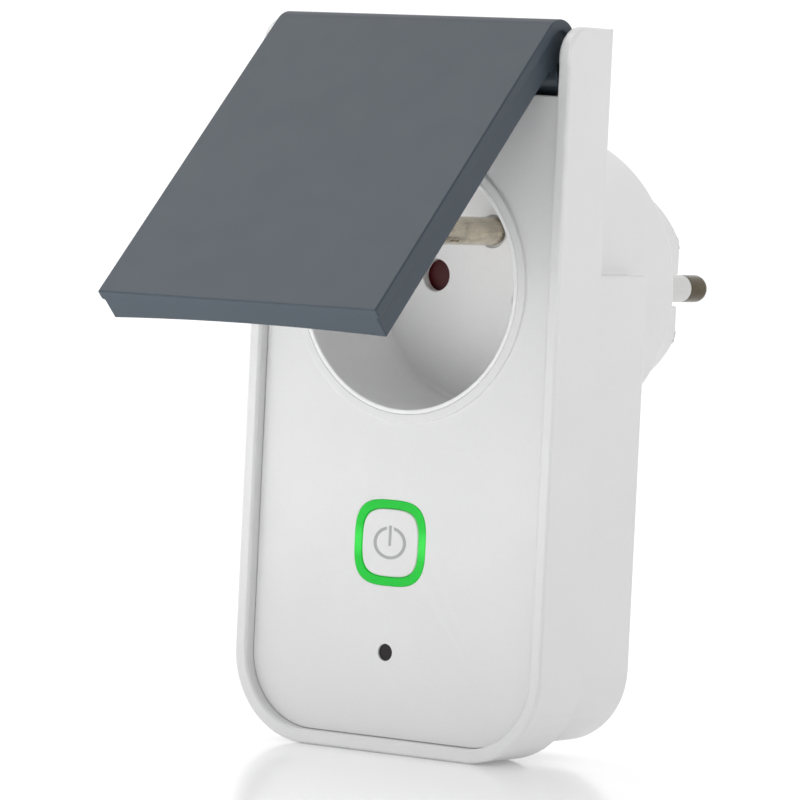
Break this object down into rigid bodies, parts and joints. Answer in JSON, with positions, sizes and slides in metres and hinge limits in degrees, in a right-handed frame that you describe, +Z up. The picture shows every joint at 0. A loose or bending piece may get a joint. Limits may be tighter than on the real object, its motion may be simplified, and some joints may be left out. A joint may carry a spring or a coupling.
{
  "type": "outdoor smart plug",
  "caption": "Wall-plug adapter with a hinged slate lid over a recessed round socket, a lit power button and an indicator on a white face, and a round two-pin plug behind.",
  "frame": {"origin": "middle of the plug's face, halfway between its two pins, where it seats in the wall socket", "axes": "+Y out of the plug's face into the wall, along the pins; +Z up as it hangs on the wall; +X to the right seen from the front"},
  "size_m": [0.0624, 0.1251, 0.1234],
  "materials": {
    "casing_white": "satin white polycarbonate",
    "socket_white": "bright white urea moulding",
    "lid_slate": "satin slate grey polycarbonate",
    "rubber_black": "matt black silicone seal",
    "nickel": "bright nickel plate",
    "dark_nickel": "darkened nickel plate",
    "brass": "plain stamped brass",
    "sleeve_grey": "pale grey insulating sleeve",
    "shutter_red": "dark red moulded shutter",
    "ring_green": "clear diffuser lit green",
    "symbol_grey": "grey inlay",
    "lens_black": "smoked lens",
    "board_green": "solder resist over glass-fibre board",
    "zinc_steel": "zinc-plated steel",
    "relay_blue": "blue relay case",
    "coil_yellow": "taped transformer",
    "capacitor_navy": "shrink-wrapped can",
    "switch_black": "black moulding",
    "led_white": "light-emitting chip",
    "fuse_tan": "ceramic tube"
  },
  "bodies": {
    "housing": {"front_frame": "casing_white", "front_panel": "casing_white", "socket_insert": "socket_white", "earth_pin": "nickel", "contact_carrier": "casing_white", "line_contact": "brass", "neutral_contact": "brass", "rear_cover": "casing_white", "housing_gasket": "rubber_black", "housing_screws": "zinc_steel", "plug_body": "casing_white", "line_pin": "dark_nickel", "neutral_pin": "dark_nickel", "pin_sleeves": "sleeve_grey", "earth_socket": "brass", "earth_clips": "nickel", "earth_strap": "brass", "line_busbar": "brass", "load_busbar": "brass", "neutral_busbar": "brass", "hinge_pins": "zinc_steel", "light_guide": "ring_green", "tact_switch": "switch_black", "indicator_lens": "lens_black", "main_board": "board_green", "board_screws": "zinc_steel", "status_leds": "led_white", "relay": "relay_blue", "supply_module": "coil_yellow", "capacitors": "capacitor_navy", "wifi_module": "zinc_steel", "fuse": "fuse_tan"},
    "lid": {"lid": "lid_slate", "lid_gasket": "rubber_black"},
    "button": {"button_cap": "casing_white", "power_symbol": "symbol_grey", "switch_plunger": "switch_black"},
    "shutter": {"shutter": "shutter_red", "shutter_spring": "zinc_steel"}
  },
  "joints": [
    {"name": "lid_hinge", "type": "hinge", "parent": "housing", "child": "lid", "pos_m": [0, -0.0534, 0.0359], "axis": [-1, 0, 0], "range_deg": [-44.6, 50.4]},
    {"name": "button_press", "type": "slide", "parent": "housing", "child": "button", "axis": [0, 1, 0], "range_m": [0, 0.0005], "stiffness_N_per_m": 1500, "springref_m": -0.0006},
    {"name": "shutter_turn", "type": "hinge", "parent": "housing", "child": "shutter", "pos_m": [-0.0004, -0.0324, -0.0008], "axis": [0, -1, 0], "range_deg": [0, 40], "stiffness_Nm_per_rad": 0.003, "springref_deg": -20.05}
  ]
}
